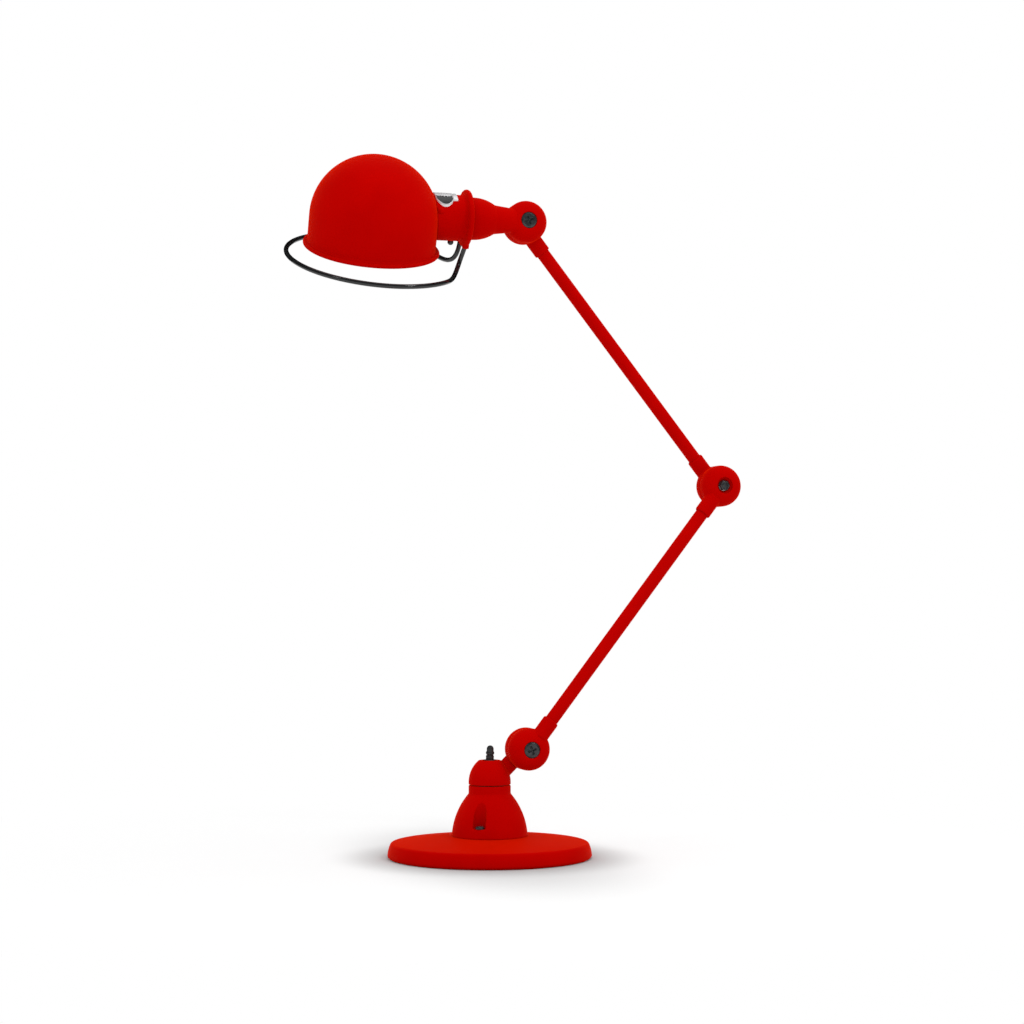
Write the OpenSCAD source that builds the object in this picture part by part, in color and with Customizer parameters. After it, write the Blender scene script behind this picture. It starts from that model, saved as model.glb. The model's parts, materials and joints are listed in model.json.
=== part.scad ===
// Jointed desk lamp: weighted disc base, swivelling bell, two equal arms, domed shade with guard ring.
// Millimetres. Origin at the middle of the foot, +Z up. The joint pins lie along Y, and -Y is the front.

/* [Base] */
// Diameter of the base disc where it meets the desk
base_d = 182.8; // [170:0.2:200]
// Height of the rim of the base disc
base_edge_h = 14.8; // [12:0.2:17]
// Height of the flat top that the bell stands on
base_h = 19.2; // [18:0.2:22]
// Thickness of the sheet metal cover
cover_wall = 1.6; // [1:0.1:2]
// Thickness of the rubber pad under the base
pad_h = 1.6; // [1:0.1:2]

/* [Bell] */
// Diameter of the foot of the bell
bell_d = 68; // [66:0.5:69]
// Diameter of the throat, where the cap turns
throat_d = 37.7; // [36:0.1:38]
// Height of the top of the bell above the desk
bell_top = 64.3; // [63:0.1:65]
// Width of the three screw pockets
pocket_d = 11.6; // [11:0.1:12]
// Distance from the axis to each screw and to the round end of its pocket
pocket_reach = 29.2; // [28.5:0.1:29.6]
// Direction of the first screw pocket, in degrees from +X
pocket_angle = 238; // [230:1:245]

/* [Swivel] */
// Height of the swivel cap
cap_h = 21.6; // [21:0.1:23]
// Elevation of the stub that carries the shoulder
stub_angle = 44.2; // [42:0.1:46]
// Diameter of the stub
stub_d = 14.8; // [14:0.1:16]
// Lean of the switch lever to the front at rest, in degrees
lever_lean = 8; // [6:1:9]

/* [Joints] */
// Diameter of the round joint halves
joint_d = 37.8; // [37:0.1:39]
// Distance from the middle plane of a joint to its flat outer face
joint_half = 17; // [16.5:0.1:18]
// Radius of the large rounding on the outer edge
joint_round = 11.4; // [10:0.1:11.6]
// Distance from the middle plane of a joint to the axis of each arm
arm_offset = 9.15; // [9:0.05:9.5]
// Free gap between the two halves of a joint
joint_gap = 0.3; // [0.2:0.1:0.5]
// Thread diameter of the pivot bolts
bolt_d = 5; // [4:1:5]

/* [Arms] */
// Distance between the pivots of one arm
arm_length = 300; // [280:5:320]
// Outer diameter of the arm tube
tube_d = 11.8; // [11:0.1:12.4]
// Wall of the arm tube
tube_wall = 1.2; // [1:0.1:1.5]
// Outer diameter of the socket that holds the tube
socket_d = 14.8; // [14:0.1:16]
// Distance from the pivot to the end of the socket
socket_reach = 32.5; // [30:0.5:36]

/* [Pose] */
// Elevation of the lower arm, leaning towards +X
lower_angle = 52.3; // [45:0.1:60]
// Elevation of the upper arm, leaning towards -X
upper_angle = 51.8; // [45:0.1:60]
// Roll of the shade about its neck, its top leaning to the front
head_roll = 25.5; // [0:0.5:30]

/* [Head] */
// Outer diameter of the domed shade
shade_d = 114; // [112:0.5:116]
// Height of the straight skirt below the dome
skirt_h = 25.4; // [23:0.2:26]
// Thickness of the shade's metal
shade_wall = 1.2; // [1:0.1:1.5]
// Diameter of the rolled bead round the rim
bead_d = 3.4; // [3:0.1:4]
// Distance from the wrist pivot to the middle of the dome
head_reach = 139.9; // [139:0.1:142]
// How far the middle of the dome lies under the neck's axis
dome_drop = 4.5; // [3:0.1:5]
// Outer diameter of the neck
neck_d = 40.8; // [40:0.1:41.5]
// Diameter of the flange on the neck
flange_d = 51; // [50:0.1:53]
// Diameter of the guard ring, to the middle of its wire
guard_d = 156; // [154:0.5:158]
// Diameter of the guard ring's wire
wire_d = 4.2; // [3.6:0.1:4.4]

/* [Hidden] */
$fn = 96;
small_fn = 48;
eps = 0.01;
fit = 0.05;              // running fit on radius

red = "#c80a04";
black = "#26282a";
steel = "#a9adb0";
brass_colour = "#c9a24a";
fibre = "#6b4a32";

// base
base_r = base_d / 2;
side_round = 31;          // radius of the gently barrelled side
top_round = 3;            // radius between side and top
foot_gap = 0.3;           // cover stands this far above the desk
weight_r = 85.5;
seat_r = 36;              // flat part of the cover's top

// bell
bell_r = bell_d / 2;
throat_r = throat_d / 2;
bell_round = 62;          // radius of the bell's long outer curve
bell_axis_z = 16.3;       // height of the middle of that curve
bell_wall = 3.2;
pocket_r = pocket_d / 2;
pocket_floor = 28;
screw_head_r = 4.1;
screw_shank_r = 1.75;
screw_hole_r = 2.1;
screw_end = 6;            // height of the screws' lower ends
inlet_z = 30;
inlet_r = 4.2;
grommet_y = 27;
grommet_h = 8.2;
grommet_inner_r = 6.8;    // of the flange inside the bell

// swivel
cap_gap = 0.7;
cap_z = bell_top + cap_gap;
cap_top = cap_z + cap_h;
cap_round = 25.7;         // radius of the cap's dome, struck from beyond the axis
cap_round_x = throat_r - cap_round;
cap_straight = 2;
cap_wall = 2.6;
spindle_r = 6;
spindle_bore = 4;
lever_pivot_z = cap_top - 4;
bat_r = 2.3;
boot_r = 3.8;             // at its bulge
boot_sleeve_r = 3.6;
boot_grip_r = 3.1;
boot_h = 14.3;            // from the pivot to the middle of the round end
boot_bulge_z = 10.7;

// joints
joint_r = joint_d / 2;
bolt_r = bolt_d / 2;
sink_r = 7.4;             // counterbore for the head, and the mouth of the nut's
sink_lip = 2.2;           // depth of that mouth
nut_sink_r = 5.6;
bolt_head_r = 7.15;
nut_flats = 8;
nut_h = 4.2;
head_floor = 12.8;        // counterbore floor on the head's side
nut_floor = 11;           // counterbore floor on the nut's side
cavity_r = 14;
boss_r = 7;
cavity_depth = 5;
shy = joint_gap / 2;

// pivots
arm_r = tube_d / 2;
shoulder = [32.4, -arm_offset, 96.5];
elbow = shoulder + arm_length * [cos(lower_angle), 0, sin(lower_angle)];
wrist = elbow + arm_length * [-cos(upper_angle), 0, sin(upper_angle)];
back_shift = [0, arm_offset, 0];
front_shift = [0, -arm_offset, 0];
tube_start = 18;          // from the pivot to the end of the arm tube

// head, measured along the neck from the wrist
shade_r = shade_d / 2;
neck_r = neck_d / 2;
flange_r = flange_d / 2;
cup_end = 53.6;
cup_round = 34;           // radius of the cup's outer curve
cup_round_end = 50;
cup_r = 18.8;
flange_start = 54.4;
flange_end = 59.6;
rim_z = -skirt_h;
bead_r = bead_d / 2;
bead_ring_r = shade_r + 2;
holder_r = 13;
holder_start = 64;
holder_end = 94;
holder_ring_x = 88.3;     // lock ring, just inside the shade
bulb_cap_start = 76;
bulb_neck_r = 8.6;        // of the glass where it leaves the cap
bulb_r = 22.5;
bulb_wall = 1;
bulb_start = 96;          // end of the cap, where the glass begins
bulb_x = 128;             // middle of the globe
guard_drop = 11.2;        // from the end of the skirt to the ring
guard_tilt = -1.5;
guard_shift = 3.3;        // ring sits this much nearer the wrist than the dome
plate_x = 79.6;           // middle of the plate along the neck
plate_r = 8.2;
plate_reach = 15;
tab_x = 67.8;             // end of the plate's tab
tab_reach = 9.6;
leg_x = 57;               // where the ring's two legs enter the flange
leg_y = 10.8;
leg_end = 21;             // from the neck's axis to the end of a leg
screw_x = 68.5;
rivet_x = 84.3;
rivet_angle = 58;

// ---------- helpers ----------

// points on an arc in a profile, from angle a0 to a1
function arc(c, r, a0, a1, n = 12) = [for (i = [0:n]) let (a = a0 + (a1 - a0) * i / n)
    c + r * [cos(a), sin(a)]];

// a joint's own frame: X and Z of the lamp as X and Y, and the front as +Z
module at_joint(pivot) translate(pivot) rotate([90, 0, 0]) children();

// a frame on an arm: +Z runs along the arm at the given elevation, from the pivot outwards
module along(start, elevation) translate(start) rotate([0, 90 - elevation, 0]) children();

// neck frame without roll: +Z runs from the wrist towards the shade
module along_neck() translate(wrist + front_shift) rotate([0, -90, 0]) children();

// head frame: +X from wrist to shade, +Z up through the dome, rolled about the neck
module head_frame() translate(wrist + front_shift) rotate([head_roll, 0, 0]) rotate([0, 0, 180]) children();
module dome_frame() head_frame() translate([head_reach, 0, -dome_drop]) children();

module tube(r, bore, h) difference() {
    cylinder(r = r, h = h);
    translate([0, 0, -1]) cylinder(r = bore, h = h + 2);
}
module hex(flats, h) cylinder(d = flats / cos(30), h = h, $fn = 6);

// ---------- base ----------

// outline of the base: barrelled side, rounded top edge, top rising to a flat seat
function base_outline(inset) =
    let (c = [base_r - side_round, 0],
         r = side_round - inset,
         top = asin(base_edge_h / side_round),
         corner = c + (side_round - top_round) * [cos(top - 6), sin(top - 6)])
    concat([[0, 0]], arc(c, r, 0, top - 6, 8),
           arc(corner, max(top_round - inset, 0.2), top, 84, 6),
           [[seat_r, base_h - inset], [0, base_h - inset]]);

module base_cover() color(red) difference() {
    intersection() {
        rotate_extrude() polygon(base_outline(0));
        translate([0, 0, foot_gap]) cylinder(r = base_r + 1, h = base_h);
    }
    rotate_extrude() polygon(base_outline(cover_wall));
    cylinder(r = spindle_bore + 1, h = base_h + 1, $fn = small_fn);
    screw_places() cylinder(r = screw_hole_r, h = base_h + 1, $fn = small_fn);
}

module base_weight() color("dimgray") difference() {
    union() {
        translate([0, 0, pad_h]) cylinder(r = weight_r, h = 10.6);
        translate([0, 0, pad_h]) cylinder(r = seat_r, h = base_h - cover_wall - pad_h - 0.1);
    }
    cylinder(r = 9, h = base_h, $fn = small_fn);
    screw_places() translate([0, 0, 3]) cylinder(r = screw_shank_r + eps, h = base_h, $fn = small_fn);
}

module base_pad() color("#1c1c1c") cylinder(r = 87, h = pad_h);

// ---------- bell ----------

module screw_places() for (i = [0:2]) rotate(pocket_angle + 120 * i) translate([pocket_reach, 0, 0]) children();

// the three pockets from a height up: round towards the axis, with parallel sides that run outwards
module pockets(r, start) screw_places() translate([0, 0, start]) {
    cylinder(r = r, h = bell_top - start, $fn = small_fn);
    translate([0, -r, 0]) cube([bell_r, 2 * r, bell_top - start]);
}

module bell_outline(inset) intersection() {
    union() {
        translate([bell_r - bell_round, bell_axis_z]) circle(r = bell_round - inset, $fn = 360);
        square([throat_r - inset, bell_top]);
    }
    translate([0, base_h]) square([bell_r - inset, bell_top - base_h]);
}

module bell() color(red) difference() {
    union() {
        difference() {
            rotate_extrude() bell_outline(0);
            intersection() {
                rotate_extrude() bell_outline(bell_wall);
                cylinder(r = bell_r, h = bell_top - 4);
            }
        }
        difference() {
            intersection() {
                pockets(pocket_r + 2, 0);
                rotate_extrude() bell_outline(0.02);
            }
            grommet_axis() translate([0, 0, -0.2]) cylinder(r = grommet_inner_r + 0.3, h = 2.4, $fn = small_fn);
        }
    }
    pockets(pocket_r, pocket_floor);
    screw_places() cylinder(r = screw_hole_r, h = pocket_floor + 1, $fn = small_fn);
    cylinder(r = spindle_r + fit, h = bell_top + 1, $fn = small_fn);
    translate([0, 0, inlet_z]) rotate([-90, 0, 0]) cylinder(r = inlet_r + 1.6, h = bell_r + 5, $fn = small_fn);
}

module bell_screws() color(black) screw_places() difference() {
    union() {
        translate([0, 0, pocket_floor]) cylinder(r = screw_head_r, h = 1.6, $fn = small_fn);
        translate([0, 0, pocket_floor + 1.6]) cylinder(r1 = screw_head_r, r2 = screw_head_r - 1, h = 0.9, $fn = small_fn);
        translate([0, 0, screw_end]) cylinder(r = screw_shank_r, h = pocket_floor - screw_end + eps, $fn = small_fn);
    }
    translate([0, 0, pocket_floor + 1]) hex(4, 3);
}

// the cord's inlet is a grommet in the back of the bell, its two flanges shaped to the wall between them
module grommet_axis() translate([0, grommet_y, inlet_z]) rotate([-90, 0, 0]) children();
module cord_grommet() color("#1c1c1c") difference() {
    union() {
        grommet_axis() cylinder(r = inlet_r + 1.5, h = grommet_h, $fn = small_fn);
        difference() {
            grommet_axis() {
                cylinder(r = grommet_inner_r, h = 2, $fn = small_fn);
                translate([0, 0, grommet_h - 3]) cylinder(r = inlet_r + 3, h = 3, $fn = small_fn);
            }
            rotate(45) rotate_extrude() difference() {
                bell_outline(-0.05);
                bell_outline(bell_wall + 0.05);
            }
        }
    }
    grommet_axis() translate([0, 0, -1]) cylinder(r = inlet_r - 0.8, h = grommet_h + 2, $fn = small_fn);
}

module spindle() color(steel) translate([0, 0, 48]) tube(spindle_r, spindle_bore, 24.2, $fn = small_fn);

module spindle_nuts() color(steel) for (z = [55.9, cap_z + 3.1]) translate([0, 0, z]) difference() {
    hex(17, 4);
    translate([0, 0, -1]) cylinder(r = spindle_r + eps, h = 6, $fn = small_fn);
}

// ---------- swivel ----------

module swivel_washer() color("#1c1c1c") translate([0, 0, bell_top]) tube(15.5, spindle_r + fit, cap_gap - 0.1);

module cap_outline(inset) intersection() {
    union() {
        translate([cap_round_x, cap_z + cap_straight]) circle(r = cap_round - inset, $fn = 360);
        square([throat_r - inset, cap_z + cap_straight]);
    }
    translate([0, cap_z]) square([throat_r - inset, cap_h - inset]);
}

module swivel_cap() color(red) difference() {
    rotate_extrude() cap_outline(0);
    intersection() {
        rotate_extrude() cap_outline(cap_wall);
        translate([0, 0, cap_z + 3]) cylinder(r = throat_r, h = cap_h);
    }
    cylinder(r = spindle_r + fit, h = cap_top - cap_wall - 1, $fn = small_fn);
    translate([0, 0, cap_top - 6]) cylinder(r = 3.1, h = 8, $fn = small_fn);
    translate([0, 0, cap_top - 1.2]) cylinder(r = 6.2, h = 3, $fn = small_fn);
    stub_axis() translate([0, 0, -stub_reach - 0.2]) cylinder(r = stub_d / 2, h = stub_reach, $fn = small_fn);
}

// along the stub, from the middle of the shoulder's back half down towards the cap
module stub_axis() along(shoulder + back_shift, stub_angle) children();
stub_reach = shoulder[0] / cos(stub_angle) - 15.2;

module stub_tube() color(red) difference() {
    stub_axis() translate([0, 0, -stub_reach]) tube(stub_d / 2 - eps, 4.5, stub_reach - 5, $fn = small_fn);
    at_joint(shoulder) mirror([0, 0, 1]) joint_body();
    at_joint(shoulder) cylinder(r = joint_r - 5, h = 40, center = true);
}

module switch_body() color(black) difference() {
    union() {
        translate([-5, -6, cap_z + 7.6]) cube([10, 12, cap_top - cap_wall - 2 - cap_z - 7.6]);
        translate([0, 0, lever_pivot_z - 2]) cylinder(r = 3, h = 5.2, $fn = small_fn);
    }
    translate([0, 0, lever_pivot_z - 2.6]) cylinder(r = 2.6, h = 8, $fn = small_fn);
}

module switch_nut() color(black) translate([0, 0, cap_top - 1.2]) difference() {
    cylinder(r = 5.8, h = 1.7, $fn = small_fn);
    translate([0, 0, -1]) cylinder(r = 3, h = 4, $fn = small_fn);
    translate([0, 0, 0.6]) cylinder(r1 = 4, r2 = 5.2, h = 1.2, $fn = small_fn);
}

module lever_frame() translate([0, 0, lever_pivot_z]) rotate([lever_lean, 0, 0]) children();

module switch_bat() color(steel) lever_frame() {
    sphere(r = bat_r, $fn = small_fn);
    cylinder(r = 1.5, h = 14, $fn = small_fn);
}

// a plain sleeve, a groove, a bulge, and a slimmer grip with a round end
module switch_boot() color(black) lever_frame() difference() {
    rotate_extrude($fn = small_fn) polygon(concat(
        [[0, 4], [boot_r - 0.6, 4], [boot_sleeve_r, 4.9], [boot_sleeve_r, 7.8], [boot_grip_r, 8.3], [boot_grip_r, 8.9]],
        arc([boot_r - 1.8, boot_bulge_z], 1.8, -50, 50, 8),
        arc([0, boot_h], boot_grip_r, 0, 90, 12)));
    translate([0, 0, 3]) cylinder(r = 1.5 + eps, h = 11 + eps, $fn = small_fn);
}

// ---------- joints ----------

// one half of a joint, its flat face at the middle plane and the front as +Z
module joint_outline() difference() {
    intersection() {
        union() {
            translate([0, shy]) square([joint_r, joint_half - joint_round - shy]);
            square([joint_r - joint_round, joint_half]);
            translate([joint_r - joint_round, joint_half - joint_round]) circle(r = joint_round, $fn = 180);
        }
        translate([0, shy]) square([joint_r, joint_half]);
    }
    translate([joint_r - 0.8, shy - eps]) square([0.81, 0.8 + eps]);
}
module joint_half_outline() union() {
    joint_outline();
    translate([joint_r - 0.8, shy + 0.8]) circle(r = 0.8, $fn = 48);
}

module joint_body() rotate_extrude() joint_half_outline();

// what is cut out of a half: contact cavity, bolt hole, and a counterbore of radius r down to a floor
module joint_cuts(floor, r) {
    difference() {
        cylinder(r = cavity_r, h = cavity_depth);
        cylinder(r = boss_r, h = cavity_depth + 1, $fn = small_fn);
    }
    cylinder(r = boss_r + eps, h = 0.65, $fn = small_fn);
    cylinder(r = bolt_r + fit, h = joint_half + 1, $fn = small_fn);
    translate([0, 0, floor]) cylinder(r = r, h = joint_half, $fn = small_fn);
    translate([0, 0, joint_half - sink_lip]) cylinder(r = sink_r, h = joint_half, $fn = small_fn);
}
module head_cuts() joint_cuts(head_floor, sink_r);
module nut_cuts() joint_cuts(nut_floor, nut_sink_r);

// a half with a tube socket; side is 1 at the front and -1 at the back, and its children are cut out of it
module socket_half(pivot, side, direction) difference() {
    union() {
        at_joint(pivot) scale([1, 1, side]) joint_body();
        along(pivot - [0, side * arm_offset, 0], direction) {
            translate([0, 0, joint_r - 5]) cylinder(d = socket_d, h = socket_reach - joint_r + 4, $fn = small_fn);
            translate([0, 0, socket_reach - 1]) cylinder(d1 = socket_d, d2 = socket_d - 1.6, h = 1, $fn = small_fn);
        }
    }
    at_joint(pivot) scale([1, 1, side]) children();
    along(pivot - [0, side * arm_offset, 0], direction) {
        translate([0, 0, tube_start]) cylinder(r = arm_r + eps, h = 40, $fn = small_fn);
        translate([0, 0, boss_r + 2]) cylinder(r = 1.9, h = 20, $fn = small_fn);
    }
}

module round_bolt() difference() {
    union() {
        translate([0, 0, head_floor]) cylinder(r = bolt_head_r, h = 3.4, $fn = small_fn);
        translate([0, 0, head_floor + 3.4]) cylinder(r1 = bolt_head_r, r2 = bolt_head_r - 1.4, h = 0.8, $fn = small_fn);
        translate([0, 0, -joint_half - 0.4]) cylinder(r = bolt_r, h = head_floor + joint_half + 0.5, $fn = small_fn);
    }
    for (a = [0, 90]) rotate(a + 20) translate([-4, -0.85, joint_half - 2]) cube([8, 1.7, 3]);
}
module bolt_nut() translate([0, 0, -nut_floor - 2 - nut_h]) difference() {
    hex(nut_flats, nut_h);
    translate([0, 0, -1]) cylinder(r = bolt_r + eps, h = nut_h + 2, $fn = small_fn);
}
module spring_washers() for (i = [0, 1])
    translate([0, 0, -nut_floor - 0.95 - i]) tube(4.6, bolt_r + 0.2, 0.85, $fn = small_fn);
module friction_disc() translate([0, 0, -0.5]) tube(6.7, bolt_r + 0.2, 1, $fn = small_fn);
module insulator() translate([0, 0, 1]) tube(cavity_r - 0.1, boss_r + 0.1, cavity_depth - 1.05);
module back_insulator() mirror([0, 0, 1]) difference() {
    insulator();
    contact_ring_shapes(eps);
}
module contact_ring_shapes(extra) for (r = [8.8, 12]) translate([0, 0, 0.4]) difference() {
    cylinder(r = r + 0.6 + extra, h = 1.2);
    translate([0, 0, -1]) cylinder(r = r - 0.6 - extra, h = 4);
}
module contact_rings() mirror([0, 0, 1]) contact_ring_shapes(0);
module pin_places() for (r = [-8.8, 12]) translate([r, 0, 0]) children();
module front_insulator() difference() {
    insulator();
    pin_places() cylinder(r = 0.8, h = 6, $fn = 24);
}
module contact_pins() pin_places() translate([0, 0, -0.3]) cylinder(r = 0.75, h = 5.2, $fn = 24);

// ---------- shoulder ----------

module shoulder_back() color(red) difference() {
    at_joint(shoulder) mirror([0, 0, 1]) joint_body();
    at_joint(shoulder) mirror([0, 0, 1]) nut_cuts();
    stub_axis() translate([0, 0, -joint_r - 4]) cylinder(r = 2.4, h = joint_r - 5, $fn = small_fn);
}
module shoulder_front() color(red) socket_half(shoulder, 1, lower_angle) head_cuts();
module shoulder_bolt() color(black) at_joint(shoulder) round_bolt();
module shoulder_nut() color(black) at_joint(shoulder) bolt_nut();
module shoulder_springs() color(steel) at_joint(shoulder) spring_washers();
module shoulder_friction_disc() color(brass_colour) at_joint(shoulder) friction_disc();
module shoulder_back_insulator() color(fibre) at_joint(shoulder) back_insulator();
module shoulder_front_insulator() color(fibre) at_joint(shoulder) front_insulator();
module shoulder_contact_rings() color(brass_colour) at_joint(shoulder) contact_rings();
module shoulder_contact_pins() color(brass_colour) at_joint(shoulder) contact_pins();

// ---------- elbow: the lower arm is at the front, and the bolt's head at the back ----------

module elbow_turned() at_joint(elbow) mirror([0, 0, 1]) children();
module elbow_front() color(red) socket_half(elbow, 1, lower_angle + 180) nut_cuts();
module elbow_back() color(red) socket_half(elbow, -1, 180 - upper_angle) head_cuts();
module elbow_bolt() color(black) elbow_turned() round_bolt();
module elbow_nut() color(black) elbow_turned() bolt_nut();
module elbow_springs() color(steel) elbow_turned() spring_washers();
module elbow_friction_disc() color(brass_colour) at_joint(elbow) friction_disc();
module elbow_back_insulator() color(fibre) at_joint(elbow) back_insulator();
module elbow_front_insulator() color(fibre) at_joint(elbow) front_insulator();
module elbow_contact_rings() color(brass_colour) at_joint(elbow) contact_rings();
module elbow_contact_pins() color(brass_colour) at_joint(elbow) contact_pins();

// ---------- arms ----------

module arm_tube(start, elevation) along(start, elevation) translate([0, 0, tube_start])
    tube(arm_r, arm_r - tube_wall, arm_length - 2 * tube_start, $fn = small_fn);
module arm_wires(start, elevation) along(start, elevation) for (x = [-1.05, 1.05])
    translate([x, 0, tube_start - 6]) cylinder(r = 0.8, h = arm_length - 2 * tube_start + 12, $fn = 24);

module lower_arm_tube() color(red) arm_tube(shoulder + front_shift, lower_angle);
module lower_arm_wires() color("white") arm_wires(shoulder + front_shift, lower_angle);
module upper_arm_tube() color(red) arm_tube(elbow + back_shift, 180 - upper_angle);
module upper_arm_wires() color("white") arm_wires(elbow + back_shift, 180 - upper_angle);

// ---------- wrist and carrier ----------

module wrist_back() color(red) socket_half(wrist, -1, -upper_angle) nut_cuts();
module wrist_bolt() color(black) at_joint(wrist) round_bolt();
module wrist_nut() color(black) at_joint(wrist) bolt_nut();
module wrist_springs() color(steel) at_joint(wrist) spring_washers();
module wrist_friction_disc() color(brass_colour) at_joint(wrist) friction_disc();
module wrist_back_insulator() color(fibre) at_joint(wrist) back_insulator();
module wrist_front_insulator() color(fibre) at_joint(wrist) front_insulator();
module wrist_contact_rings() color(brass_colour) at_joint(wrist) contact_rings();
module wrist_contact_pins() color(brass_colour) at_joint(wrist) contact_pins();

// the wrist's front half, its tapered shank and the cup that the neck turns in
module head_carrier() color(red) difference() {
    union() {
        at_joint(wrist) joint_body();
        difference() {
            along_neck() hull() {
                translate([0, 0, 12]) scale([1, 0.74, 1]) cylinder(r = 10.6, h = 1, $fn = 64);
                translate([0, 0, 29]) cylinder(r1 = 12.5, r2 = 12.9, h = 1.9, $fn = 64);
            }
            at_joint(wrist) translate([0, 0, shy - 20]) cylinder(r = joint_r + 0.4, h = 20);
        }
        along_neck() rotate_extrude() polygon(concat(
            [[0, 30]],
            arc([cup_r - cup_round, cup_round_end], cup_round, -34.5, 0, 10),
            [[cup_r, cup_end], [0, cup_end]]));
    }
    at_joint(wrist) head_cuts();
    along_neck() {
        translate([0, 0, 44]) cylinder(r = 15.4, h = 20);
        translate([0, 0, 34]) cylinder(r = spindle_r - 1 + eps, h = 20, $fn = small_fn);
        translate([0, 0, cavity_r - 4]) cylinder(r = 2.4, h = 30, $fn = small_fn);
    }
}

module head_spindle() color(steel) along_neck() translate([0, 0, 34]) tube(spindle_r - 1, 3.4, 30, $fn = small_fn);
module head_spindle_nut() color(steel) along_neck() translate([0, 0, flange_start + 3.7]) difference() {
    hex(15, 3.6);
    translate([0, 0, -1]) cylinder(r = spindle_r - 1 + eps, h = 6, $fn = small_fn);
}

// ---------- head ----------

// half the section of the shade's own shape, or of the hollow in it: a quarter circle on a straight skirt
module shade_outline(inset, below = 0) {
    intersection() {
        circle(r = shade_r - inset, $fn = 360);
        square(shade_r);
    }
    translate([0, rim_z - below]) square([shade_r - inset, skirt_h + below]);
}

module shade() color(red) dome_frame() difference() {
    rotate(90) rotate_extrude($fn = 180) difference() {
        union() {
            shade_outline(0);
            translate([bead_ring_r, rim_z]) circle(r = bead_r, $fn = 32);
            translate([0, rim_z - 0.8]) square([bead_ring_r, 1.6]);
        }
        shade_outline(shade_wall, 5);
    }
    translate([0, 0, dome_drop]) rotate([0, -90, 0]) cylinder(r = holder_r + 1, h = shade_r + 5, $fn = small_fn);
}

module neck() color(red) difference() {
    union() {
        along_neck() rotate_extrude() polygon(concat(
            [[0, flange_start]],
            arc([flange_r - 2.6, flange_start + 2.7], 2.7, -80, 66, 10),
            arc([neck_r + 3.4, flange_end + 3.4], 3.4, 270, 180, 8),
            [[neck_r, head_reach - 30], [0, head_reach - 30]]));
        head_frame() for (s = [-1, 1]) translate([leg_x, leg_y * s, -leg_end - 3.4]) cylinder(r = 3.1, h = 6, $fn = small_fn);
    }
    along_neck() {
        translate([0, 0, flange_start + 3.2]) cylinder(r = neck_r - 1.6, h = 100);
        cylinder(r = spindle_r - 1 + fit, h = 100, $fn = small_fn);
    }
    head_frame() for (s = [-1, 1]) translate([leg_x, leg_y * s, -leg_end - 4]) cylinder(r = wire_d / 2 + fit, h = 4.1, $fn = small_fn);
    dome_frame() rotate(90) rotate_extrude($fn = 180) shade_outline(-eps);
    head_frame() translate([screw_x, 0, -neck_r - 2]) cylinder(r = 1.9, h = 6, $fn = small_fn);
}

module neck_screw() color(black) head_frame() translate([screw_x, 0, -neck_r]) {
    translate([0, 0, -3.6]) cylinder(r = 2.7, h = 3.5, $fn = small_fn);
    translate([0, 0, -0.2]) cylinder(r = 1.85, h = 4.5, $fn = small_fn);
}

module neck_rivets() color(red) head_frame() for (s = [-1, 1]) rotate([rivet_angle * s, 0, 0])
    translate([rivet_x, 0, neck_r]) difference() {
        intersection() {
            translate([0, 0, -2.2]) sphere(r = 3.6, $fn = small_fn);
            cylinder(r = 2.9, h = 5, $fn = small_fn);
        }
        translate([-10, 0, -neck_r]) rotate([0, 90, 0]) cylinder(r = neck_r + eps, h = 20);
    }

// plain round-ended plate wrapped over the top of the neck
module nameplate() color("silver") head_frame() intersection() {
    translate([tab_x, 0, 0]) rotate([0, 90, 0]) tube(neck_r + 1.3, neck_r + eps, 30, $fn = 180);
    union() {
        for (s = [-1, 1]) translate([plate_x, s * (plate_reach - plate_r), 0]) cylinder(r = plate_r, h = 40);
        translate([tab_x, -tab_reach, 0]) cube([plate_x - tab_x, 2 * tab_reach, 40]);
        translate([plate_x - plate_r, plate_r - plate_reach, 0])
            cube([2 * plate_r, 2 * (plate_reach - plate_r), 40]);
    }
}

// ---------- guard ring ----------

function unit(v) = v / norm(v);
function bezier(p, t) = p[0] * pow(1 - t, 3) + 3 * p[1] * t * pow(1 - t, 2) + 3 * p[2] * t * t * (1 - t) + p[3] * pow(t, 3);

// the ring lies tilted under the rim, in the dome's frame
guard_r = guard_d / 2;
guard_open = 50;          // half of the angle where the wire leaves the circle
function on_guard(a, r = guard_r) =
    [r * cos(a) * cos(guard_tilt) - guard_shift, r * sin(a), rim_z - guard_drop - r * cos(a) * sin(guard_tilt)];
function guard_end(s) = [leg_x - head_reach, leg_y * s, dome_drop - leg_end];
function guard_leg(s) = let (a = 180 - guard_open * s, p = on_guard(a), t = unit(on_guard(a + s) - p))
    [p, p + t * 20, guard_end(s) + [4.7, -15 * s, -36], guard_end(s)];
guard_path = concat(
    [for (i = [14:-1:1]) bezier(guard_leg(-1), i / 14)],
    [for (i = [0:60]) on_guard(-180 + guard_open + (360 - 2 * guard_open) * i / 60)],
    [for (i = [1:14]) bezier(guard_leg(1), i / 14)]);

function tangents(p) = [for (i = [0:len(p) - 1]) unit(p[min(i + 1, len(p) - 1)] - p[max(i - 1, 0)])];
function sweep_normals(t, n, i = 1) = i == len(t) ? n
    : let (m = n[i - 1]) sweep_normals(t, concat(n, [unit(m - (m * t[i]) * t[i])]), i + 1);

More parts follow.
